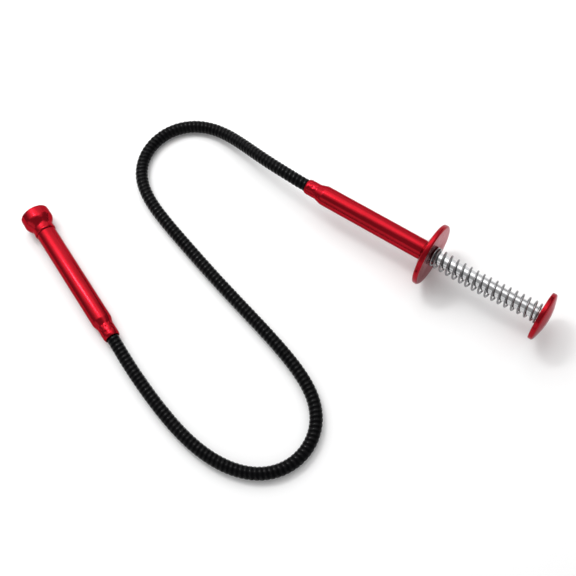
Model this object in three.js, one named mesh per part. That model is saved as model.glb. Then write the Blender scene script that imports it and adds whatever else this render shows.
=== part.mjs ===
// Flexible drain auger with a thumb plunger and four retractable claws.
// Millimetres, +Z up. The handle lies along +X (thumb button at the +X end), the tool
// rests on a flat surface at Z = 0: flange rim, hose and claw head all touch it.
// A sprung thumb button pushes a steel cable through the hose; the cable pushes a small
// carrier along the head tube, and four spring-wire claws come out of the bell and open.
import * as THREE from 'three';
import * as BufferGeometryUtils from 'three/addons/utils/BufferGeometryUtils.js';

// ---------- driving dimensions ----------
const SEG = 28;                       // facets round each turned piece
const FACET = Math.cos(Math.PI / SEG);

// where the box of the rigid parts is centred (the model is shifted by this)
const SHIFT_X = 9.321, SHIFT_Y = 5.211;

// handle
const FLANGE_R = 15.75;
const AXIS_Z = FLANGE_R * FACET;      // the flange rim stands on the surface
const HANDLE_X = -17.597, HANDLE_Y = 45.545;   // front end of the handle's neck
const TUBE_R = 4.95, TUBE_BORE_R = 4.05;
const HANDLE_NECK_R = 3.88, NECK_BORE_R = 3.4;
const TUBE_END = 71.4;                // the tube runs right through the flange
const FLANGE_FRONT = 66.4, FLANGE_REAR = 71.7, FLANGE_BORE_R = 5.25;

// thumb plunger
const BUTTON_R = 11.85, BUTTON_UNDER = 127.95, BUTTON_TOP = 132.35;
const BOSS_R = 4.9, BOSS_START = 127.45, BUTTON_SOCKET_R = 3.4;
const ROD_R = 3.1, ROD_FRONT_R = 2.4, ROD_START = 52.6, ROD_STEP = 59.4, ROD_END = 129.4, COLLAR_BORE_R = 2.7;

// return spring
const SPRING_MEAN_R = 4.45, WIRE_R = 0.5;
// [turns from the first crossing of the upper side, distance along the axis]: closed ends, even coils between
const SPRING_RISE = [[-0.25, 72.5], [0, 72.5], [1, 74.0], [16, 124.5], [17, 126.6], [17.25, 126.65]];
const SPRING_PHASE = -0.38;           // the crossings face a little to the handle's right

// head, measured along its own axis from the end of its neck
const HEAD_POS = [-55.922, -68.16, 4.68];
const HEAD_AZ = 157.847, HEAD_TILT = 2.092;      // degrees; the mouth sits a little higher
const HEAD_NECK_R = 4.1, HEAD_TUBE_R = 5.05;
const HEAD_STEP = 67.7, HEAD_TUBE_END = 72.0, HEAD_SPIGOT_R = 4.45;
const BELL_START = 68.0, BELL_END = 80.8, BELL_COLLAR_BORE = 4.75, BELL_R = 7.45, BELL_BORE_R = 6.35;
const BEAD_R = 5.5;

// claws
const CARRIER_START = 21.5, CARRIER_END = 30.0, CARRIER_R = 3.7, CARRIER_FLOOR = 27.2;
const CLAW_ROOT = 27.5, CLAW_ROOT_R = 1.45, CLAW_WIRE_R = 0.45;
const CLAW_SHAPE = [[0, 1.45], [6, 1.3], [13, 1.0], [22.8, 0.86], [31, 1.1], [38, 1.75],
  [43, 2.7], [45.2, 3.25], [46.5, 3.52], [47.3, 3.35], [47.6, 2.85], [47.55, 2.2]];

// hose and push cable
const HOSE_R = 3.1, HOSE_BORE_R = 2.5, CONDUIT_R = 2.1, CONDUIT_BORE_R = 1.72, CABLE_R = 1.05;
const HOSE_IN_HANDLE = 8.9, HOSE_IN_HEAD = 9.2;
const HOSE_STEPS = 62, CABLE_STEPS = 72;
const CABLE_HANDLE_END = 51.0 + 0.3 - 0.6, CABLE_HEAD_END = 24.9;
// control points of the uniform cubic B-spline that the hose follows, handle end first
const HOSE_POINTS = [
  [2.67, 45.46, 15.70], [-8.70, 45.60, 15.63], [-20.06, 45.46, 15.72], [-31.42, 46.16, 15.39],
  [-42.60, 47.46, 13.54], [-53.44, 49.54, 10.77], [-64.18, 51.82, 7.68], [-75.15, 53.37, 5.12],
  [-86.54, 52.62, 3.48], [-96.96, 47.42, 3.15], [-103.99, 38.06, 3.15], [-106.26, 26.66, 3.15],
  [-103.35, 15.30, 3.15], [-95.70, 6.55, 3.15], [-85.70, 0.96, 3.15], [-75.08, -3.07, 3.15],
  [-64.23, -6.49, 3.15], [-53.35, -9.76, 3.15], [-42.44, -12.97, 3.15], [-31.51, -16.09, 3.15],
  [-20.53, -19.04, 3.15], [-9.53, -21.88, 3.15], [1.47, -24.74, 3.15], [12.43, -27.77, 3.15],
  [23.28, -31.17, 3.15], [33.86, -35.36, 3.15], [43.66, -41.28, 3.15], [51.04, -50.27, 3.15],
  [53.69, -61.65, 3.15], [51.16, -73.04, 3.15], [43.84, -82.15, 3.15], [33.54, -87.38, 3.15],
  [22.30, -89.51, 3.15], [10.89, -89.40, 3.15], [-0.36, -87.68, 3.15], [-11.39, -84.89, 3.18],
  [-22.25, -81.54, 3.33], [-32.96, -77.75, 3.67], [-43.56, -73.65, 4.12], [-53.90, -68.95, 4.60],
  [-64.44, -64.70, 5.01], [-74.99, -60.47, 5.42]];

// ---------- materials ----------
const anodised = (c, rough) => new THREE.MeshStandardMaterial({ color: c, roughness: rough, metalness: 0.9 });
const steel = (c = 0xc9cbcf, rough = 0.25) => new THREE.MeshStandardMaterial({ color: c, roughness: rough, metalness: 1.0 });
const plastic = (c, rough) => new THREE.MeshStandardMaterial({ color: c, roughness: rough, metalness: 0.0 });
const RED = 0xc4131f;

// ---------- helpers ----------
// Keep position only, weld, and turn the faces outward.
function solid(geometry) {
  let g = geometry.index ? geometry : geometry.clone();
  for (const name of Object.keys(g.attributes)) if (name !== 'position') g.deleteAttribute(name);
  g.clearGroups();
  g = BufferGeometryUtils.mergeVertices(g, 1e-4);
  const p = g.attributes.position, ix = Array.from(g.index.array), out = [];
  for (let i = 0; i < ix.length; i += 3) {
    const [a, b, c] = [ix[i], ix[i + 1], ix[i + 2]];
    if (a !== b && b !== c && c !== a) out.push(a, b, c);
  }
  let vol = 0;
  const v = (k) => new THREE.Vector3().fromBufferAttribute(p, k);
  for (let i = 0; i < out.length; i += 3) vol += v(out[i]).dot(v(out[i + 1]).cross(v(out[i + 2])));
  if (vol < 0) for (let i = 0; i < out.length; i += 3) [out[i + 1], out[i + 2]] = [out[i + 2], out[i + 1]];
  g.setIndex(out);
  g.computeVertexNormals();
  return g;
}

// Turned piece: profile points are [position along the axis, radius]; the axis becomes +X
// and a flat facet faces straight down.
function turned(profile, ring) {
  const pts = profile.map(([s, r]) => new THREE.Vector2(r, s));
  if (ring) pts.push(pts[0].clone());
  const g = new THREE.LatheGeometry(pts, SEG, Math.PI / SEG);
  g.rotateZ(-Math.PI / 2);
  return solid(g);
}

const group = new THREE.Group();
const handle = new THREE.Group();
handle.position.set(HANDLE_X + SHIFT_X, HANDLE_Y + SHIFT_Y, AXIS_Z);
const head = new THREE.Group();
{
  const az = THREE.MathUtils.degToRad(HEAD_AZ), el = THREE.MathUtils.degToRad(HEAD_TILT);
  const x = new THREE.Vector3(Math.cos(az) * Math.cos(el), Math.sin(az) * Math.cos(el), Math.sin(el));
  const y = new THREE.Vector3(-Math.sin(az), Math.cos(az), 0);
  const z = new THREE.Vector3().crossVectors(x, y);
  head.quaternion.setFromRotationMatrix(new THREE.Matrix4().makeBasis(x, y, z));
  head.position.set(HEAD_POS[0] + SHIFT_X, HEAD_POS[1] + SHIFT_Y, HEAD_POS[2]);
}
const routed = new THREE.Group();
routed.position.set(SHIFT_X, SHIFT_Y, 0);
group.add(handle, head, routed);

function add(parent, name, geometry, material) {
  const mesh = new THREE.Mesh(geometry, material);
  mesh.name = name;
  parent.add(mesh);
  return mesh;
}

// ---------- curves ----------
class HoseCurve extends THREE.Curve {
  getPoint(t, target = new THREE.Vector3()) {
    const segs = HOSE_POINTS.length - 3;
    const u = Math.min(Math.max(t, 0), 1) * segs;
    const i = Math.min(Math.floor(u), segs - 1), f = u - i;
    const w = [(1 - f) ** 3 / 6, (3 * f ** 3 - 6 * f * f + 4) / 6, (-3 * f ** 3 + 3 * f * f + 3 * f + 1) / 6, f ** 3 / 6];
    target.set(0, 0, 0);
    for (let k = 0; k < 4; k++) target.add(new THREE.Vector3(...HOSE_POINTS[i + k]).multiplyScalar(w[k]));
    return target;
  }
}

class Polyline extends THREE.Curve {
  constructor(points) {
    super();
    this.points = points;
    this.s = [0];
    for (let i = 1; i < points.length; i++) this.s.push(this.s[i - 1] + points[i].distanceTo(points[i - 1]));
  }
  getPoint(t, target = new THREE.Vector3()) {
    const d = t * this.s[this.s.length - 1];
    let i = 1;
    while (i < this.s.length - 1 && this.s[i] < d) i++;
    const f = (d - this.s[i - 1]) / (this.s[i] - this.s[i - 1]);
    return target.copy(this.points[i - 1]).lerp(this.points[i], f);
  }
}

function ngon(r, n) {
  const pts = [];
  for (let i = 0; i < n; i++) {
    const a = 2 * Math.PI * (i + 0.5) / n;
    pts.push(new THREE.Vector2(r * Math.cos(a), r * Math.sin(a)));
  }
  return pts;
}

function tube(curve, steps, sides, outer, inner) {
  const shape = new THREE.Shape(ngon(outer, sides));
  if (inner) shape.holes.push(new THREE.Path(ngon(inner, sides).reverse()));
  return solid(new THREE.ExtrudeGeometry(shape, { steps, extrudePath: curve, bevelEnabled: false, curveSegments: 1 }));
}

// ---------- handle ----------
add(handle, 'handle_tube', turned([
  [0, NECK_BORE_R], [0, 3.52], [0.5, 3.74], [1.2, HANDLE_NECK_R], [6.0, HANDLE_NECK_R], [7.0, 4.06], [8.0, 4.4],
  [9.0, 4.76], [10.0, TUBE_R], [TUBE_END, TUBE_R], [TUBE_END, TUBE_BORE_R], [10.6, TUBE_BORE_R], [6.8, NECK_BORE_R]],
  true), anodised(RED, 0.22));

// plain disc: the front face runs out of the tube in a trumpet curve, the rear face is flat
add(handle, 'finger_flange', turned([
  [FLANGE_FRONT, FLANGE_BORE_R], [66.65, 5.8], [66.9, 6.8], [67.3, 8.2], [67.9, 10.2], [68.5, 12.4], [69.0, 14.4],
  [69.25, 15.3], [69.65, FLANGE_R], [71.2, FLANGE_R], [FLANGE_REAR, 14.95], [FLANGE_REAR, FLANGE_BORE_R]], true),
  anodised(RED, 0.3));

add(handle, 'rod_guide_bush', turned([
  [59.4, BUTTON_SOCKET_R], [59.4, 3.6], [59.6, 3.75], [71.1, 3.75], [71.1, BUTTON_SOCKET_R]], true), plastic(0x26272a, 0.5));

add(handle, 'handle_conduit_stop', turned([
  [9.4, 1.4], [9.4, 3.2], [10.6, 3.7], [13.6, 3.7], [13.6, 1.4]], true), steel(0xb89a55, 0.4));

// ---------- thumb plunger ----------
add(handle, 'thumb_button', turned([
  [ROD_END + 0.3, 0], [ROD_END + 0.3, BUTTON_SOCKET_R], [BOSS_START, BUTTON_SOCKET_R], [BOSS_START, BOSS_R],
  [BUTTON_UNDER, BOSS_R], [BUTTON_UNDER, 11.6], [128.2, BUTTON_R], [129.9, BUTTON_R], [130.3, 11.3], [130.75, 10.1],
  [131.4, 7.6], [131.95, 5.2], [132.25, 2.8], [BUTTON_TOP, 0]], false), anodised(RED, 0.3));

add(handle, 'plunger_rod', turned([
  [ROD_START, 0], [ROD_START, 2.1], [ROD_START + 0.3, ROD_FRONT_R], [ROD_STEP, ROD_FRONT_R], [ROD_STEP + 0.2, ROD_R],
  [ROD_END - 0.3, ROD_R], [ROD_END, 2.8], [ROD_END, 0]], false), steel(0xd4d6d9, 0.12));

add(handle, 'rod_stop_collar', turned([
  [56.5, COLLAR_BORE_R], [56.5, 3.7], [59.1, 3.7], [59.1, COLLAR_BORE_R]], true), steel(0x8f9297, 0.35));

add(handle, 'cable_clamp', turned([
  [51.0, 0], [51.0, 1.4], [48.0, 1.4], [48.0, 2.8], [48.3, 3.2], [55.9, 3.2], [56.2, 3.0], [56.2, COLLAR_BORE_R],
  [52.3, COLLAR_BORE_R], [52.3, 0]], false), steel(0xb89a55, 0.4));

// compression spring: closed coils at both ends, one wire from end to end
{
  const first = SPRING_RISE[0][0], last = SPRING_RISE[SPRING_RISE.length - 1][0], turns = last - first;
  const rise = (n) => {
    let i = 1;
    while (i < SPRING_RISE.length - 1 && SPRING_RISE[i][0] < n) i++;
    const [n0, s0] = SPRING_RISE[i - 1], [n1, s1] = SPRING_RISE[i];
    return s0 + (s1 - s0) * (n - n0) / (n1 - n0);
  };
  class Helix extends THREE.Curve {
    getPoint(t, target = new THREE.Vector3()) {
      const n = first + t * turns, a = SPRING_PHASE - 2 * Math.PI * n;
      return target.set(rise(n), SPRING_MEAN_R * Math.sin(a), SPRING_MEAN_R * Math.cos(a));
    }
    getPointAt(u, target) { return this.getPoint(u, target); }
    getTangentAt(u, target) { return this.getTangent(u, target); }
  }
  const curve = new Helix();
  curve.getSpacedPoints = function (divisions) {
    const pts = [];
    for (let i = 0; i <= divisions; i++) pts.push(this.getPoint(i / divisions));
    return pts;
  };
  add(handle, 'return_spring', tube(curve, Math.round(turns * 11), 5, WIRE_R), steel(0xc0c2c6, 0.2));
}

// ---------- hose ----------
const hoseCurve = new HoseCurve();
hoseCurve.arcLengthDivisions = 2000;
add(routed, 'hose_jacket', tube(hoseCurve, HOSE_STEPS, 10, HOSE_R, HOSE_BORE_R), plastic(0x111214, 0.45));
add(routed, 'hose_conduit', tube(hoseCurve, HOSE_STEPS, 8, CONDUIT_R, CONDUIT_BORE_R), steel(0x8f9297, 0.4));

// push cable: straight in the handle, along the hose, straight in the head
{
  const pts = [];
  for (let d = CABLE_HANDLE_END; d > HOSE_IN_HANDLE + 1; d -= 3) pts.push(new THREE.Vector3(HANDLE_X + d, HANDLE_Y, AXIS_Z));
  for (const p of hoseCurve.getSpacedPoints(300)) pts.push(p);
  head.updateMatrixWorld(true);
  for (let d = HOSE_IN_HEAD + 2; d <= CABLE_HEAD_END + 0.01; d += (CABLE_HEAD_END - HOSE_IN_HEAD - 2) / 4) {
    const p = head.localToWorld(new THREE.Vector3(d, 0, 0));
    pts.push(p.sub(routed.position));
  }
  add(routed, 'push_cable', tube(new Polyline(pts), CABLE_STEPS, 6, CABLE_R), steel(0xa9abb0, 0.35));
}

// ---------- head ----------
add(head, 'head_tube', turned([
  [0, NECK_BORE_R], [0, 3.75], [0.5, 3.95], [1.2, HEAD_NECK_R], [7.2, HEAD_NECK_R], [8.2, 4.34], [9.3, 4.8],
  [10.3, HEAD_TUBE_R], [HEAD_STEP, HEAD_TUBE_R], [HEAD_STEP, HEAD_SPIGOT_R], [HEAD_TUBE_END, HEAD_SPIGOT_R],
  [HEAD_TUBE_END, TUBE_BORE_R], [11.2, TUBE_BORE_R], [7.8, NECK_BORE_R]], true), anodised(RED, 0.22));

add(head, 'head_conduit_stop', turned([
  [9.5, 1.4], [9.5, 3.1], [11.3, 3.7], [14.0, 3.7], [14.0, 1.4]], true), steel(0xb89a55, 0.4));

add(head, 'bell_mouth', turned([
  [BELL_START, BELL_COLLAR_BORE], [BELL_START, 5.2], [68.35, 5.45], [68.9, BEAD_R], [69.6, 5.42], [71.2, 5.37],
  [72.0, 5.62], [73.0, 6.2], [74.0, 6.8], [75.0, 7.26], [75.8, BELL_R], [80.3, BELL_R], [BELL_END, 7.1],
  [BELL_END, BELL_BORE_R], [76.8, BELL_BORE_R], [73.1, TUBE_BORE_R], [72.3, TUBE_BORE_R], [72.3, BELL_COLLAR_BORE]],
  true), anodised(RED, 0.22));

add(head, 'claw_carrier', turned([
  [CARRIER_FLOOR, 0], [CARRIER_FLOOR, 3.0], [CARRIER_END, 3.0], [CARRIER_END, CARRIER_R], [CARRIER_START, CARRIER_R],
  [CARRIER_START, 1.4], [25.2, 1.4], [25.2, 0]], false), steel(0xb89a55, 0.4));

// four spring-wire claws, a quarter turn apart, each hooked inward at its tip
for (let i = 0; i < 4; i++) {
  const holder = new THREE.Group();
  holder.position.set(CLAW_ROOT, 0, 0);
  holder.rotation.x = Math.PI / 4 + i * Math.PI / 2;
  head.add(holder);
  const curve = new THREE.CatmullRomCurve3(CLAW_SHAPE.map(([x, r]) => new THREE.Vector3(x, 0, r)), false, 'centripetal');
  add(holder, 'claw_' + (i + 1), tube(curve, 26, 6, CLAW_WIRE_R), steel(0xc9cbcf, 0.2));
}

export default group;
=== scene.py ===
import math

import bpy
import numpy as np
from mathutils import Matrix, Vector


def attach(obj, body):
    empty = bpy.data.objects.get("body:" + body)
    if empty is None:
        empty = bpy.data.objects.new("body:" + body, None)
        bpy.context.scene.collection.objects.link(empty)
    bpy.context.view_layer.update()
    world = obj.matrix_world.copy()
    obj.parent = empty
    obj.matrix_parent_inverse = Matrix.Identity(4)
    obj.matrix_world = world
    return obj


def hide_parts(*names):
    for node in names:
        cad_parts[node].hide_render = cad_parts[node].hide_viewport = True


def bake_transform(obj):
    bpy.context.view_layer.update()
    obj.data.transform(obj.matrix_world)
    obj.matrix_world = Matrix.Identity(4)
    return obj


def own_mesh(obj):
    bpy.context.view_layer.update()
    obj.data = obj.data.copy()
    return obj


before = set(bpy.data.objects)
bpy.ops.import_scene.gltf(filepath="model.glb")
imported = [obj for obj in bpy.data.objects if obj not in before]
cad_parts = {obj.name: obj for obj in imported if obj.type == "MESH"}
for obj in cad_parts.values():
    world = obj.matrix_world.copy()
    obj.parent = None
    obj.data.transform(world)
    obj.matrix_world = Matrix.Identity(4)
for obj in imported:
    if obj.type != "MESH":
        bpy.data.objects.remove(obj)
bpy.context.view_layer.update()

scene = bpy.context.scene
MM = 0.001

# ------------------------------------------------------------------ frames (mm, row frame)
SHIFT = np.array([9.321, 5.211, 0.0])
AXIS_Z = 15.75 * math.cos(math.pi / 28)
HANDLE_O = np.array([-17.597, 45.545, 0.0]) + SHIFT + np.array([0, 0, AXIS_Z])
HANDLE = (HANDLE_O, np.array([1.0, 0, 0]), np.array([0, 1.0, 0]), np.array([0, 0, 1.0]))
_az, _el = math.radians(157.847), math.radians(2.092)
_hx = np.array([math.cos(_az) * math.cos(_el), math.sin(_az) * math.cos(_el), math.sin(_el)])
_hy = np.array([-math.sin(_az), math.cos(_az), 0.0])
_hz = np.cross(_hx, _hy)
HEAD_O = np.array([-55.922, -68.16, 4.68]) + SHIFT
HEAD = (HEAD_O, _hx, _hy, _hz)

# ------------------------------------------------------------------ camera
cam_data = bpy.data.cameras.new("camera")
cam_data.sensor_width = 36.0
cam_data.lens = 980.0 / 576.0 * 36.0
cam_data.clip_start, cam_data.clip_end = 0.01, 50.0
cam = bpy.data.objects.new("camera", cam_data)
scene.collection.objects.link(cam)
R_ = Vector((0.823112, 0.560750, -0.089699)).normalized()
F_ = Vector((-0.287893, 0.275896, -0.917060)).normalized()
U_ = R_.cross(F_).normalized()
R_ = F_.cross(U_).normalized()
cam_m = Matrix((R_, U_, -F_)).transposed().to_4x4()
cam_m.translation = Vector((0.147509, -0.127219, 0.440189))
cam.matrix_world = cam_m
scene.camera = cam
scene.view_settings.view_transform = "Standard"
scene.view_settings.look = "None"

# ------------------------------------------------------------------ hose route (uniform cubic B-spline, mm)
HOSE_POINTS = np.array([
    [2.67, 45.46, 15.70], [-8.70, 45.60, 15.63], [-20.06, 45.46, 15.72], [-31.42, 46.16, 15.39],
    [-42.60, 47.46, 13.54], [-53.44, 49.54, 10.77], [-64.18, 51.82, 7.68], [-75.15, 53.37, 5.12],
    [-86.54, 52.62, 3.48], [-96.96, 47.42, 3.15], [-103.99, 38.06, 3.15], [-106.26, 26.66, 3.15],
    [-103.35, 15.30, 3.15], [-95.70, 6.55, 3.15], [-85.70, 0.96, 3.15], [-75.08, -3.07, 3.15],
    [-64.23, -6.49, 3.15], [-53.35, -9.76, 3.15], [-42.44, -12.97, 3.15], [-31.51, -16.09, 3.15],
    [-20.53, -19.04, 3.15], [-9.53, -21.88, 3.15], [1.47, -24.74, 3.15], [12.43, -27.77, 3.15],
    [23.28, -31.17, 3.15], [33.86, -35.36, 3.15], [43.66, -41.28, 3.15], [51.04, -50.27, 3.15],
    [53.69, -61.65, 3.15], [51.16, -73.04, 3.15], [43.84, -82.15, 3.15], [33.54, -87.38, 3.15],
    [22.30, -89.51, 3.15], [10.89, -89.40, 3.15], [-0.36, -87.68, 3.15], [-11.39, -84.89, 3.18],
    [-22.25, -81.54, 3.33], [-32.96, -77.75, 3.67], [-43.56, -73.65, 4.12], [-53.90, -68.95, 4.60],
    [-64.44, -64.70, 5.01], [-74.99, -60.47, 5.42]]) + SHIFT


def bspline(points, t):
    segs = len(points) - 3
    u = np.clip(np.asarray(t, float), 0, 1) * segs
    i = np.minimum(u.astype(int), segs - 1)
    f = u - i
    w = np.stack([(1 - f) ** 3 / 6, (3 * f ** 3 - 6 * f * f + 4) / 6,
                  (-3 * f ** 3 + 3 * f * f + 3 * f + 1) / 6, f ** 3 / 6], axis=1)
    return sum(w[:, k:k + 1] * points[i + k] for k in range(4))


def lengths(points):
    return np.concatenate([[0], np.cumsum(np.linalg.norm(np.diff(points, axis=0), axis=1))])


def even(points, n):
    s = lengths(points)
    at = np.linspace(0, s[-1], n)
    return np.stack([np.interp(at, s, points[:, k]) for k in range(3)], axis=1), at


# ------------------------------------------------------------------ mesh helpers
def make_object(name, verts_mm, faces, local=None, smooth_angle=32.0, extra=None):
    me = bpy.data.meshes.new(name)
    v = np.asarray(verts_mm, float) * MM
    me.from_pydata([tuple(p) for p in v], [], [tuple(int(i) for i in f) for f in faces])
    me.validate()
    for p in me.polygons:
        p.use_smooth = True
    me.set_sharp_from_angle(angle=math.radians(smooth_angle))
    if local is not None and len(me.vertices) == len(v):
        a = me.attributes.new("loc", "FLOAT_VECTOR", "POINT")
        a.data.foreach_set("vector", (np.asarray(local, float) * MM).astype(np.float32).ravel())
    if extra is not None:
        for key, val in extra.items():
            a = me.attributes.new(key, "FLOAT", "POINT")
            a.data.foreach_set("value", np.asarray(val, np.float32))
    ob = bpy.data.objects.new(name, me)
    scene.collection.objects.link(ob)
    return ob


def rounded(profile, closed, n=5):
    """Profile of (s, r) or (s, r, fillet). Returns the points with their corners rounded."""
    P = [np.array(p[:2], float) for p in profile]
    F = [p[2] if len(p) > 2 else 0.0 for p in profile]
    out, m = [], len(P)
    for i in range(m):
        if F[i] <= 0 or (not closed and i in (0, m - 1)):
            out.append(P[i])
            continue
        a, b, c = P[(i - 1) % m], P[i], P[(i + 1) % m]
        u, v = a - b, c - b
        lu, lv = np.linalg.norm(u), np.linalg.norm(v)
        u, v = u / lu, v / lv
        ang = math.acos(max(-1, min(1, float(u @ v))))
        if ang > math.pi - 1e-3:
            out.append(b)
            continue
        d = min(F[i] / math.tan(ang / 2), 0.48 * lu, 0.48 * lv)
        f = d * math.tan(ang / 2)
        bis = (u + v) / np.linalg.norm(u + v)
        centre = b + bis * (f / math.sin(ang / 2))
        p0, p1 = b + u * d - centre, b + v * d - centre
        t0, t1 = math.atan2(p0[1], p0[0]), math.atan2(p1[1], p1[0])
        dt = (t1 - t0 + math.pi) % (2 * math.pi) - math.pi
        for k in range(n + 1):
            t = t0 + dt * k / n
            out.append(centre + f * np.array([math.cos(t), math.sin(t)]))
    return out


def turned(name, at, profile, seg=112, closed=True, disp=None, dense=None, n=5, smooth_angle=32.0):
    """A turned piece: profile runs (position, radius[, fillet]) and turns round the frame's X axis.
    disp(s, phi, r) moves outer points radially, dense=(s0, s1, step) adds rings there."""
    pts = rounded(profile, closed, n)
    if dense:
        s0, s1, step = dense
        more, m = [], len(pts)
        for i in range(m if closed else m - 1):
            a, b = pts[i], pts[(i + 1) % m]
            more.append(a)
            lo, hi = min(a[0], b[0]), max(a[0], b[0])
            if hi > s0 and lo < s1 and hi - lo > step:
                cuts = [s for s in np.arange(s0, s1 + 1e-9, step) if lo + 1e-3 < s < hi - 1e-3]
                if b[0] < a[0]:
                    cuts = cuts[::-1]
                for s in cuts:
                    t = (s - a[0]) / (b[0] - a[0])
                    more.append(a + (b - a) * t)
        if not closed:
            more.append(pts[-1])
        pts = more
    O, X, Y, Z = at
    verts, loc, rows = [], [], []
    phis = 2 * math.pi * (np.arange(seg) + 0.5) / seg
    for s, r in pts:
        if r < 1e-6:
            rows.append([len(verts)])
            verts.append(O + X * s)
            loc.append([s, 0, 0])
            continue
        row = []
        for ph in phis:
            rr = r + (disp(s, ph, r) if disp else 0.0)
            y, z = rr * math.sin(ph), rr * math.cos(ph)
            row.append(len(verts))
            verts.append(O + X * s + Y * y + Z * z)
            loc.append([s, y, z])
        rows.append(row)
    faces = []
    m = len(rows)
    for i in range(m if closed else m - 1):
        a, b = rows[i], rows[(i + 1) % m]
        for k in range(seg):
            k2 = (k + 1) % seg
            if len(a) == 1 and len(b) == 1:
                continue
            if len(a) == 1:
                faces.append((a[0], b[k2], b[k]))
            elif len(b) == 1:
                faces.append((a[k], a[k2], b[0]))
            else:
                faces.append((a[k], a[k2], b[k2], b[k]))
    ob = make_object(name, verts, faces, loc, smooth_angle)
    outward(ob)
    return ob


def outward(ob):
    me = ob.data
    me.calc_loop_triangles()
    v = np.zeros(len(me.vertices) * 3, np.float32)
    me.vertices.foreach_get("co", v)
    v = v.reshape(-1, 3).astype(float)
    t = np.zeros(len(me.loop_triangles) * 3, np.int32)
    me.loop_triangles.foreach_get("vertices", t)
    t = t.reshape(-1, 3)
    vol = np.einsum("ij,ij->i", v[t[:, 0]], np.cross(v[t[:, 1]], v[t[:, 2]])).sum()
    if vol < 0:
        me.flip_normals()


def transport(path):
    """Parallel-transported normal and binormal along a path."""
    T = np.gradient(path, axis=0)
    T /= np.linalg.norm(T, axis=1)[:, None]
    N = np.zeros_like(T)
    start = np.array([0, 0, 1.0]) if abs(T[0][2]) < 0.9 else np.array([1.0, 0, 0])
    N[0] = start - (start @ T[0]) * T[0]
    N[0] /= np.linalg.norm(N[0])
    for i in range(1, len(T)):
        n = N[i - 1] - (N[i - 1] @ T[i]) * T[i]
        N[i] = n / np.linalg.norm(n)
    return T, N, np.cross(T, N)


def swept(name, path, radius, sides, caps="flat", bore=None, smooth_angle=40.0, at_s=None):
    """A round solid or tube along a path. radius and bore are numbers or f(s, phi) -> mm arrays."""
    path = np.asarray(path, float)
    s = lengths(path) if at_s is None else at_s
    T, N, B = transport(path)
    phi = 2 * math.pi * np.arange(sides) / sides
    S, PH = np.meshgrid(s, phi, indexing="ij")

    def ring(rad):
        r = rad(S, PH) if callable(rad) else np.full(S.shape, float(rad))
        c, d = np.cos(PH)[..., None], np.sin(PH)[..., None]
        return path[:, None, :] + r[..., None] * (c * N[:, None, :] + d * B[:, None, :]), r

    V, r = ring(radius)
    n = len(path)
    verts = [V.reshape(-1, 3)]
    loc = [np.stack([S, r * np.cos(PH), r * np.sin(PH)], axis=-1).reshape(-1, 3)]
    faces = []
    idx = np.arange(n * sides).reshape(n, sides)
    nxt = np.roll(idx, -1, axis=1)
    quads = np.stack([idx[:-1], nxt[:-1], nxt[1:], idx[1:]], axis=-1).reshape(-1, 4)
    faces += [tuple(q) for q in quads.tolist()]
    total = n * sides
    if bore is not None:
        W, rb = ring(bore)
        verts.append(W.reshape(-1, 3))
        loc.append(np.stack([S, rb * np.cos(PH), rb * np.sin(PH)], axis=-1).reshape(-1, 3))
        jdx = idx + total
        jn = np.roll(jdx, -1, axis=1)
        faces += [tuple(q) for q in np.stack([jdx[:-1], jdx[1:], jn[1:], jn[:-1]], axis=-1).reshape(-1, 4).tolist()]
        faces += [(int(idx[0][k]), int(jdx[0][k]), int(jn[0][k]), int(nxt[0][k])) for k in range(sides)]
        faces += [(int(idx[-1][k]), int(nxt[-1][k]), int(jn[-1][k]), int(jdx[-1][k])) for k in range(sides)]
    else:
        for end in (0, n - 1):
            sign = -1 if end == 0 else 1
            rad = float(np.mean(r[end]))
            rows = [idx[end]]
            if caps == "round":
                base = verts[0].reshape(n, sides, 3)[end]
                for k in range(1, 5):
                    a = math.pi / 2 * k / 5
                    ringv = path[end] + (base - path[end]) * math.cos(a) + sign * T[end] * rad * math.sin(a)
                    rows.append(np.arange(total, total + sides))
                    verts.append(ringv)
                    loc.append(np.tile([s[end] + sign * rad * math.sin(a), 0, 0], (sides, 1)))
                    total += sides
                tip = path[end] + sign * T[end] * rad
            else:
                tip = path[end]
            verts.append(tip[None])
            loc.append(np.array([[s[end], 0, 0]]))
            c = total
            total += 1
            for a, b in zip(rows[:-1], rows[1:]):
                for k in range(sides):
                    k2 = (k + 1) % sides
                    q = (int(a[k]), int(a[k2]), int(b[k2]), int(b[k]))
                    faces.append(q if sign > 0 else q[::-1])
            last = rows[-1]
            for k in range(sides):
                k2 = (k + 1) % sides
                q = (int(last[k]), int(last[k2]), c)
                faces.append(q if sign > 0 else q[::-1])
    ob = make_object(name, np.concatenate(verts), faces, np.concatenate(loc), smooth_angle)
    outward(ob)
    return ob


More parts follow.
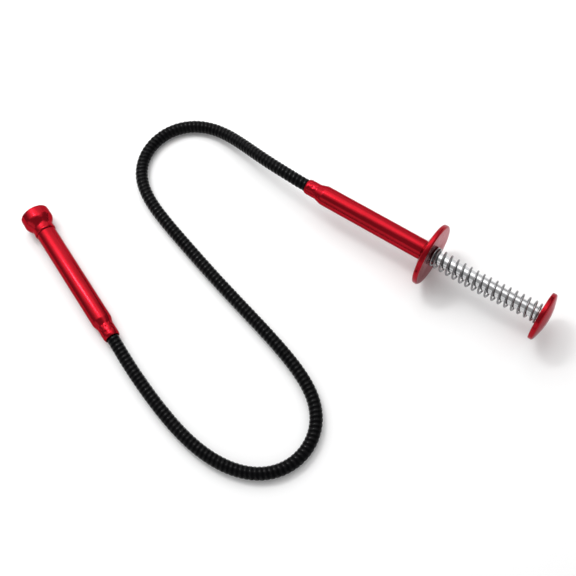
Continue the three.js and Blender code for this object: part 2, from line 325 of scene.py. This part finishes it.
# ------------------------------------------------------------------ material helpers
class Mat:
    def __init__(self, name):
        self.m = bpy.data.materials.new(name)
        self.m.use_nodes = True
        self.t = self.m.node_tree
        self.b = self.t.nodes["Principled BSDF"]

    def n(self, kind, **values):
        node = self.t.nodes.new(kind)
        for k, v in values.items():
            if k in node.inputs:
                node.inputs[k].default_value = v
            else:
                setattr(node, k, v)
        return node

    def link(self, a, b):
        self.t.links.new(a, b)

    def loc(self, scale):
        at = self.n("ShaderNodeAttribute", attribute_name="loc")
        mp = self.n("ShaderNodeMapping")
        mp.inputs["Scale"].default_value = scale
        self.link(at.outputs["Vector"], mp.inputs["Vector"])
        return mp.outputs["Vector"]

    def noise(self, vec, scale, detail=4.0, rough=0.55, dims="3D"):
        nz = self.n("ShaderNodeTexNoise", noise_dimensions=dims)
        nz.inputs["Scale"].default_value = scale
        nz.inputs["Detail"].default_value = detail
        nz.inputs["Roughness"].default_value = rough
        if dims == "1D":
            self.link(vec, nz.inputs["W"])
        else:
            self.link(vec, nz.inputs["Vector"])
        return nz.outputs["Fac"]

    def span(self, fac, lo, hi, a=0.0, b=1.0):
        mr = self.n("ShaderNodeMapRange")
        mr.inputs["From Min"].default_value = a
        mr.inputs["From Max"].default_value = b
        mr.inputs["To Min"].default_value = lo
        mr.inputs["To Max"].default_value = hi
        self.link(fac, mr.inputs["Value"])
        return mr.outputs["Result"]

    def mix(self, fac, a, b):
        mx = self.n("ShaderNodeMix", data_type="RGBA")
        self.link(fac, mx.inputs["Factor"])
        mx.inputs["A"].default_value = (*a, 1)
        mx.inputs["B"].default_value = (*b, 1)
        return mx.outputs["Result"]

    def math(self, op, a, b=None):
        m = self.n("ShaderNodeMath", operation=op)
        for i, x in enumerate([a, b]):
            if x is None:
                continue
            if isinstance(x, (int, float)):
                m.inputs[i].default_value = x
            else:
                self.link(x, m.inputs[i])
        return m.outputs[0]

    def radius(self):
        at = self.n("ShaderNodeAttribute", attribute_name="loc")
        sep = self.n("ShaderNodeSeparateXYZ")
        self.link(at.outputs["Vector"], sep.inputs[0])
        yy = self.math("MULTIPLY", sep.outputs["Y"], sep.outputs["Y"])
        zz = self.math("MULTIPLY", sep.outputs["Z"], sep.outputs["Z"])
        return self.math("SQRT", self.math("ADD", yy, zz)), sep.outputs["X"]

    def bump(self, height, strength, distance):
        bp = self.n("ShaderNodeBump")
        bp.inputs["Strength"].default_value = strength
        bp.inputs["Distance"].default_value = distance
        self.link(height, bp.inputs["Height"])
        self.link(bp.outputs["Normal"], self.b.inputs["Normal"])
        return bp


def anodised(name, base, dark, rough=(0.16, 0.26), turned_lines=False, edge=(0.70, 0.42, 0.45)):
    """Clear red anodising on turned and polished aluminium: metal with a dyed colour, fine tool lines,
    slight cloudiness and a little wear in the roughness."""
    k = Mat(name)
    k.b.inputs["Metallic"].default_value = 1.0
    k.b.inputs["Specular Tint"].default_value = (*edge, 1)
    k.b.inputs["Coat Weight"].default_value = 0.07
    k.b.inputs["Coat Roughness"].default_value = 0.05
    cloud = k.noise(k.loc((1, 1, 1)), 90.0, 3.0)
    k.link(k.mix(k.span(cloud, 0.0, 1.0, 0.3, 0.7), base, dark), k.b.inputs["Base Color"])
    if turned_lines:
        r, x = k.radius()
        lines = k.noise(k.math("ADD", k.math("MULTIPLY", r, 1.0), k.math("MULTIPLY", x, 0.7)), 5200.0, 3.0, 0.6, "1D")
    else:
        lines = k.noise(k.loc((6, 520, 520)), 9.0, 3.0, 0.6)
    patch = k.noise(k.loc((1, 1, 1)), 260.0, 4.0)
    k.link(k.math("ADD", k.span(patch, rough[0], rough[1], 0.3, 0.7), k.span(lines, -0.02, 0.03)), k.b.inputs["Roughness"])
    k.bump(lines, 0.10 if turned_lines else 0.05, 0.00004)
    return k.m


def steel(name, base, rough, grain=(6, 500, 500), tint=0.9, strength=0.06, scale=10.0):
    k = Mat(name)
    k.b.inputs["Metallic"].default_value = 1.0
    cloud = k.noise(k.loc((1, 1, 1)), 220.0, 4.0)
    k.link(k.mix(k.span(cloud, 0.0, 1.0, 0.3, 0.7), base, tuple(c * tint for c in base)), k.b.inputs["Base Color"])
    lines = k.noise(k.loc(grain), scale, 3.0, 0.6)
    k.link(k.span(lines, rough[0], rough[1], 0.3, 0.7), k.b.inputs["Roughness"])
    k.bump(lines, strength, 0.00003)
    return k.m


def plastic(name, base, rough, grain=2400.0, strength=0.12):
    k = Mat(name)
    cloud = k.noise(k.loc((1, 1, 1)), 150.0, 4.0)
    k.link(k.mix(k.span(cloud, 0.0, 1.0, 0.3, 0.7), base, tuple(c * 1.6 for c in base)), k.b.inputs["Base Color"])
    fine = k.noise(k.loc((1, 1, 1)), grain, 2.0)
    k.link(k.span(cloud, rough[0], rough[1], 0.3, 0.7), k.b.inputs["Roughness"])
    k.bump(fine, strength, 0.00004)
    return k.m


RED = (0.35, 0.006, 0.014)
RED_D = (0.30, 0.005, 0.011)
M_TUBE = anodised("red_anodised_tube", RED, RED_D, (0.15, 0.22))
M_FLANGE = anodised("red_anodised_flange", RED, RED_D, (0.17, 0.26), True, (0.85, 0.72, 0.75))
M_BUTTON = anodised("red_anodised_button", RED, RED_D, (0.15, 0.24), True, (0.80, 0.60, 0.63))
M_ROD = steel("polished_rod", (0.61, 0.61, 0.62), (0.06, 0.11), strength=0.03)
M_SPRING = steel("spring_wire", (0.25, 0.25, 0.255), (0.16, 0.26), (14, 500, 500))
M_CLAW = steel("claw_wire", (0.66, 0.66, 0.67), (0.14, 0.26), (14, 500, 500))
M_PLAIN = steel("plain_steel", (0.42, 0.43, 0.45), (0.28, 0.42), (60, 60, 60), scale=30.0)
M_BRASS = steel("turned_brass", (0.62, 0.42, 0.14), (0.22, 0.36), (500, 20, 20))
M_CONDUIT = steel("conduit_wire", (0.36, 0.37, 0.39), (0.3, 0.45), (500, 20, 20))
M_CABLE = steel("cable_strand", (0.5, 0.51, 0.53), (0.25, 0.4), (300, 60, 60))
M_NYLON = plastic("black_nylon", (0.018, 0.018, 0.019), (0.38, 0.5))


RIB = 2.25        # mm, pitch of the hose's ribs


def hose_material():
    """Satin black jacket: the tops of the ribs are rubbed smooth, the grooves between them are dull; a painted sheen
    makes the side that faces up more reflective.
    """
    k = Mat("black_hose")
    cloud = k.noise(k.loc((1, 1, 1)), 60.0, 4.0)
    k.link(k.mix(k.span(cloud, 0.0, 1.0, 0.3, 0.7), (0.0015, 0.0015, 0.0018), (0.003, 0.003, 0.0033)), k.b.inputs["Base Color"])
    at = k.n("ShaderNodeAttribute", attribute_name="loc")
    sep = k.n("ShaderNodeSeparateXYZ")
    k.link(at.outputs["Vector"], sep.inputs[0])
    around = k.math("ARCTAN2", sep.outputs["Z"], sep.outputs["Y"])
    phase = k.math("SUBTRACT", k.math("MULTIPLY", sep.outputs["X"], math.pi / (RIB * MM)), k.math("MULTIPLY", around, 0.5))
    top = k.math("POWER", k.math("ABSOLUTE", k.math("SINE", phase)), 3.0)
    worn = k.math("MULTIPLY", top, k.span(k.noise(k.loc((1, 1, 1)), 500.0, 3.0), 0.55, 1.25, 0.35, 0.65))
    painted_sheen_up = k.span(k.math("SINE", around), 0.25, 1.0, 0.55, 0.98)      # painted sheen: the side that faces up gets more specular, where the lights fall on it
    k.link(k.span(k.math("MULTIPLY", worn, painted_sheen_up), 0.02, 0.38), k.b.inputs["Specular IOR Level"])
    fine = k.noise(k.loc((1, 1, 1)), 1400.0, 3.0)
    k.link(k.span(fine, 0.14, 0.27, 0.3, 0.7), k.b.inputs["Roughness"])
    k.bump(fine, 0.12, 0.00004)
    return k.m


M_HOSE = hose_material()


def use(ob, mat, body, slot, *nodes):
    ob.data.materials.clear()
    ob.data.materials.append(mat)
    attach(ob, body)
    if nodes:
        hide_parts(*nodes)
    return ob


# ------------------------------------------------------------------ hose (a free hose, end to end)
hose_len = 443.39
fine_path = bspline(HOSE_POINTS, np.linspace(0, 1, 6000))
n_rings = int(round(hose_len / RIB * 12)) + 1
hose_path, hose_s = even(fine_path, n_rings)


def rib_radius(S, PH):
    u = (S / RIB - PH / (2 * math.pi)) % 1.0
    return 3.15 - 0.22 * np.abs(np.cos(math.pi * u)) ** 4     # full turns, narrow shallow groove between them


hose = swept("hose", hose_path, rib_radius, 20, bore=2.5, smooth_angle=180.0, at_s=hose_s)
use(hose, M_HOSE, "handle", "black_hose", "hose_jacket")


conduit_path, conduit_s = even(fine_path, 520)
conduit = swept("conduit", conduit_path, lambda S, PH: 2.1 - 0.1 * (1 - np.abs(np.sin(math.pi * (S / 1.7 - PH / (2 * math.pi))))),
                16, bore=1.72, smooth_angle=180.0, at_s=conduit_s)
use(conduit, M_CONDUIT, "handle", "conduit_steel", "hose_conduit")


# ------------------------------------------------------------------ push cable in three lengths
def strand(S, PH):
    return 1.05 - 0.16 * (1 - np.abs(np.cos(3 * (PH + 2 * math.pi * S / 8.0))) ** 0.5)


hp = np.stack([HANDLE_O + np.array([1.0, 0, 0]) * d for d in np.linspace(8.0, 50.7, 120)])
cable_handle = swept("cable_in_handle", hp, strand, 18, smooth_angle=180.0)
use(cable_handle, M_CABLE, "handle", "cable_steel", "push_cable")
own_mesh(cable_handle)

cable_hose = swept("cable_in_hose", even(fine_path, 420)[0], 1.0, 10, smooth_angle=180.0)
use(cable_hose, M_CABLE, "handle", "cable_steel", "push_cable")

hd = np.stack([HEAD_O + _hx * d for d in np.linspace(10.0, 24.9, 150)])
cable_head = swept("cable_in_head", hd, strand, 18, smooth_angle=180.0)
cable_head.data.materials.append(M_CABLE)
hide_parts("push_cable")
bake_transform(cable_head)


# ------------------------------------------------------------------ handle
def dimples(rows, depth, width, r_lo=3.6, r_hi=4.3):
    """Rows of small pressed dimples that hold the neck on the hose: rows of (position, count, phase)."""
    def f(s, ph, r):
        if r < r_lo or r > r_hi:
            return 0.0
        d = 0.0
        for at, count, phase in rows:
            g = math.exp(-((s - at) / width) ** 2)
            if g < 0.01:
                continue
            step = 2 * math.pi / count
            q = (ph - phase + step / 2) % step - step / 2
            d += g * math.exp(-((q * r) / width) ** 2)
        return -depth * d
    return f


use(turned("handle_tube_red", HANDLE, [
    (0, 3.4, 0.1), (0, 3.55, 0.1), (0.55, 3.76, 0.4), (1.2, 3.88, 0.6), (6.2, 3.88, 2.4), (10.0, 4.95, 3.4), (71.55, 4.95, 0.12),
    (71.55, 4.05, 0.1), (10.6, 4.05, 1.0), (6.8, 3.4, 1.0)],
    seg=144, disp=dimples([(2.0, 8, 0.2), (3.8, 8, 0.6), (5.5, 8, 0.1)], 0.15, 0.55), dense=(0.9, 7.0, 0.16)),
    M_TUBE, "handle", "red_anodised", "handle_tube")

flange = [(66.2, 4.985), (66.35, 5.12, 0.1), (66.65, 5.8, 0.6), (66.9, 6.8, 1.5), (67.3, 8.2, 3.0), (67.9, 10.2, 4.0), (68.5, 12.4, 4.0),
          (69.0, 14.4, 2.0), (69.25, 15.3, 0.6), (69.65, 15.64, 0.5), (71.2, 15.64, 0.5), (71.7, 14.95, 0.3), (71.7, 4.985, 0.05)]
use(turned("finger_flange_red", HANDLE, flange, seg=160, smooth_angle=40), M_FLANGE, "handle", "red_anodised_flange", "finger_flange")

use(turned("guide_bush", HANDLE, [(59.4, 3.4, 0.1), (59.4, 3.75, 0.2), (71.1, 3.75, 0.1), (71.1, 3.4, 0.1)], seg=64),
    M_NYLON, "handle", "black_nylon", "rod_guide_bush")
use(turned("handle_stop", HANDLE, [(9.4, 1.4, 0.1), (9.4, 3.2, 0.1), (10.6, 3.7, 0.2), (13.6, 3.7, 0.3), (13.6, 1.4, 0.2)], seg=64),
    M_BRASS, "handle", "brass", "handle_conduit_stop")

# ------------------------------------------------------------------ plunger
use(turned("button_red", HANDLE, [
    (129.7, 0.0), (129.7, 3.4), (127.45, 3.4, 0.1), (127.45, 4.9, 0.15), (127.95, 4.9, 0.15), (127.95, 11.85, 0.35),
    (129.85, 11.85, 0.45), (130.3, 11.3, 0.8), (130.75, 10.1, 2.0), (131.4, 7.6, 6.0), (131.95, 5.2, 8.0), (132.25, 2.8, 8.0),
    (132.35, 0.0)], seg=160, closed=False, n=6), M_BUTTON, "plunger", "red_anodised_button", "thumb_button")
use(turned("rod_polished", HANDLE, [
    (52.6, 0.0), (52.6, 2.4, 0.3), (59.4, 2.4), (59.6, 3.1, 0.1), (129.4, 3.1, 0.3), (129.4, 0.0)], seg=96, closed=False),
    M_ROD, "plunger", "polished_rod", "plunger_rod")
use(turned("stop_collar", HANDLE, [(56.5, 2.7, 0.1), (56.5, 3.7, 0.25), (59.1, 3.7, 0.25), (59.1, 2.7, 0.1)], seg=64),
    M_PLAIN, "plunger", "plain_steel", "rod_stop_collar")
use(turned("clamp_brass", HANDLE, [
    (51.0, 0.0), (51.0, 1.4), (48.0, 1.4, 0.1), (48.0, 3.2, 0.4), (56.2, 3.2, 0.25), (56.2, 2.7, 0.1), (52.3, 2.7), (52.3, 0.0)],
    seg=64, closed=False, disp=lambda s, ph, r: -0.12 * (math.exp(-((s - 50.2) / 0.5) ** 2) + math.exp(-((s - 54.0) / 0.5) ** 2)) if r > 3.0 else 0.0,
    dense=(48.6, 55.8, 0.2)), M_BRASS, "plunger", "brass", "cable_clamp")
# ------------------------------------------------------------------ return spring
MEAN_R, WIRE_R, HAND, PHASE = 4.45, 0.5, -1.0, math.pi - 0.38 + math.pi
# (turn, distance) where the wire crosses the upper side, closed coils at both ends
CROSS = [72.2, 73.85, 77.15, 80.6, 84.15, 87.7, 91.06, 94.6, 97.9, 101.2, 104.6, 107.9, 111.25, 114.6, 117.86, 121.15, 124.5, 126.75]
n_at = np.concatenate([[-0.35], np.arange(len(CROSS)), [len(CROSS) - 1 + 0.3]])
s_at = np.concatenate([[72.2], CROSS, [126.8]])
nn = np.linspace(n_at[0], n_at[-1], 1100)
sx = np.interp(nn, n_at, s_at)
kern = np.hanning(25)
kern /= kern.sum()
sx = np.convolve(np.pad(sx, 12, mode="edge"), kern, mode="valid")
ang = HAND * 2 * math.pi * nn + PHASE
# the coils lie a little off the rod's middle, as far as their clearance allows
bow = np.interp(sx, [72, 76, 86, 97, 110, 123, 127], [0.0, 0.2, 0.5, 0.65, 0.2, -0.35, -0.1])
spring_path = HANDLE_O + np.stack([sx, MEAN_R * np.sin(ang) - 0.93 * bow, MEAN_R * np.cos(ang) - 0.37 * bow], axis=1)
spring = swept("spring_wire_coil", spring_path, WIRE_R, 14, caps="round", smooth_angle=60.0)
use(spring, M_SPRING, "handle", "spring_steel", "return_spring")
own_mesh(spring)

# ------------------------------------------------------------------ head
use(turned("head_tube_red", HEAD, [
    (0, 3.4, 0.1), (0, 3.78, 0.1), (0.5, 3.97, 0.4), (1.2, 4.1, 0.6), (7.3, 4.1, 2.4), (10.3, 5.03, 3.2), (67.7, 5.03, 0.12),
    (67.7, 4.45), (72.0, 4.45, 0.1), (72.0, 4.05, 0.1), (11.2, 4.05, 1.0), (7.8, 3.4, 1.0)],
    seg=144, disp=dimples([(3.0, 8, 0.3), (5.2, 8, 0.7), (7.0, 8, 0.2)], 0.15, 0.55, 3.8, 4.4), dense=(1.0, 8.2, 0.16)),
    M_TUBE, "handle", "red_anodised", "head_tube")
use(turned("head_stop", HEAD, [(9.5, 1.4, 0.1), (9.5, 3.1, 0.1), (11.3, 3.7, 0.2), (14.0, 3.7, 0.3), (14.0, 1.4, 0.2)], seg=64),
    M_BRASS, "handle", "brass", "head_conduit_stop")
use(turned("bell_red", HEAD, [
    (67.95, 4.75), (67.95, 5.1, 0.08), (68.3, 5.42, 0.25), (68.9, 5.5, 0.4), (69.6, 5.40, 0.5), (71.2, 5.34, 1.5), (72.0, 5.55, 1.5),
    (73.0, 6.15, 2.0), (74.0, 6.78, 2.5), (75.0, 7.26, 2.0), (75.9, 7.45, 1.5), (80.35, 7.42, 0.4), (80.8, 7.15, 0.2),
    (80.8, 6.35, 0.15), (76.8, 6.35, 1.0), (73.1, 4.05, 0.8), (72.3, 4.05), (72.3, 4.75)], seg=160),
    M_TUBE, "handle", "red_anodised", "bell_mouth")
use(turned("carrier_brass", HEAD, [
    (27.2, 0.0), (27.2, 3.0, 0.3), (30.0, 3.0, 0.15), (30.0, 3.7, 0.25), (21.5, 3.7, 0.35), (21.5, 1.4, 0.2), (25.2, 1.4), (25.2, 0.0)],
    seg=64, closed=False), M_BRASS, "carrier", "brass", "claw_carrier")


def catmull(points, n):
    """Centripetal Catmull-Rom curve through the points, as the CAD uses."""
    P = [np.array(p, float) for p in points]
    P = [2 * P[0] - P[1]] + P + [2 * P[-1] - P[-2]]
    out = []
    for i in range(1, len(P) - 2):
        p0, p1, p2, p3 = P[i - 1], P[i], P[i + 1], P[i + 2]
        d0, d1, d2 = (np.linalg.norm(b - a) ** 0.5 for a, b in ((p0, p1), (p1, p2), (p2, p3)))
        t1 = (p1 - p0) / d0 - (p2 - p0) / (d0 + d1) + (p2 - p1) / d1
        t2 = (p2 - p1) / d1 - (p3 - p1) / (d1 + d2) + (p3 - p2) / d2
        t1, t2 = t1 * d1, t2 * d1
        for u in np.linspace(0, 1, 24, endpoint=False):
            c2 = -3 * p1 + 3 * p2 - 2 * t1 - t2
            c3 = 2 * p1 - 2 * p2 + t1 + t2
            out.append(p1 + t1 * u + c2 * u * u + c3 * u ** 3)
    out.append(P[-2])
    return even(np.array(out), n)


CLAW_SHAPE = [[0, 1.45], [6, 1.3], [13, 1.0], [22.8, 0.86], [31, 1.1], [38, 1.75],
              [43, 2.7], [45.2, 3.25], [46.5, 3.52], [47.3, 3.35], [47.6, 2.85], [47.55, 2.2]]
for i in range(4):
    a = math.pi / 4 + i * math.pi / 2
    u = -math.sin(a) * _hy + math.cos(a) * _hz
    prof, ps = catmull([[x, r, 0] for x, r in CLAW_SHAPE], 150)
    line = np.stack([HEAD_O + _hx * (27.5 + p[0]) + u * p[1] for p in prof])
    total = ps[-1]
    claw = swept("claw_wire_%d" % (i + 1), line, lambda S, PH: 0.45 * np.clip(0.55 + 0.45 * np.clip((total - S) / 1.6, 0, 1), 0, 1), 14,
                 caps="round", smooth_angle=60.0)
    use(claw, M_CLAW, "claw_%d_wire" % (i + 1), "claw_steel", "claw_%d" % (i + 1))

# ------------------------------------------------------------------ floor and light
fm = Mat("floor_pale")
fm.b.inputs["Base Color"].default_value = (0.95, 0.95, 0.95, 1)
fm.b.inputs["Roughness"].default_value = 0.75
fm.b.inputs["Specular IOR Level"].default_value = 0.2
me = bpy.data.meshes.new("floor")
me.from_pydata([(-4, -4, -0.0002), (4, -4, -0.0002), (4, 4, -0.0002), (-4, 4, -0.0002)], [], [(0, 1, 2, 3)])
floor = bpy.data.objects.new("floor", me)
me.materials.append(fm.m)
scene.collection.objects.link(floor)

world = bpy.data.worlds.new("studio")
scene.world = world
world.use_nodes = True
world.node_tree.nodes["Background"].inputs["Color"].default_value = (1, 1, 1, 1)
world.node_tree.nodes["Background"].inputs["Strength"].default_value = 0.46


def softbox(name, centre, target, sx, sy, radiance, roll=0.0):
    d = bpy.data.lights.new(name, "AREA")
    d.shape = "RECTANGLE"
    d.size, d.size_y = sx, sy
    d.energy = radiance * math.pi * sx * sy
    o = bpy.data.objects.new(name, d)
    scene.collection.objects.link(o)
    v = (Vector(target) - Vector(centre)).normalized()
    q = v.to_track_quat("-Z", "Y")
    o.matrix_world = Matrix.Translation(Vector(centre)) @ q.to_matrix().to_4x4() @ Matrix.Rotation(roll, 4, "Z")
    return o


def strip_light(name, d0, d1, length, z, radiance, along=0.0):
    """A level softbox: it spans d0..d1 along (-0.6, 0.8) from the tool and lies along (0.8, 0.6)."""
    d, o = (d0 + d1) / 2, Vector((-0.18, -0.10, z))
    c = o + Vector((-0.6, 0.8, 0)) * d + Vector((0.8, 0.6, 0)) * along
    la = bpy.data.lights.new(name, "AREA")
    la.shape = "RECTANGLE"
    la.size, la.size_y = length, d1 - d0
    la.energy = radiance * math.pi * length * (d1 - d0)
    ob = bpy.data.objects.new(name, la)
    scene.collection.objects.link(ob)
    ob.matrix_world = Matrix.Translation(c) @ Matrix.Rotation(math.atan2(0.6, 0.8), 4, "Z")
    return ob


strip_light("soft_wide", -0.10, 2.60, 2.4, 0.80, 0.55)
strip_light("soft_mid", 0.02, 1.30, 1.5, 0.79, 0.60)
strip_light("soft_key", 0.12, 0.70, 1.0, 0.78, 0.90)
strip_light("hot_core", 0.26, 0.36, 0.26, 0.77, 22.0, -0.06)
softbox("low_front", (0.15, -1.30, 0.42), (0.0, 0.05, 0.0), 2.6, 0.66, 0.60)
softbox("low_back", (-1.10, 1.15, 0.42), (-0.02, 0.0, 0.02), 2.6, 0.70, 0.75)
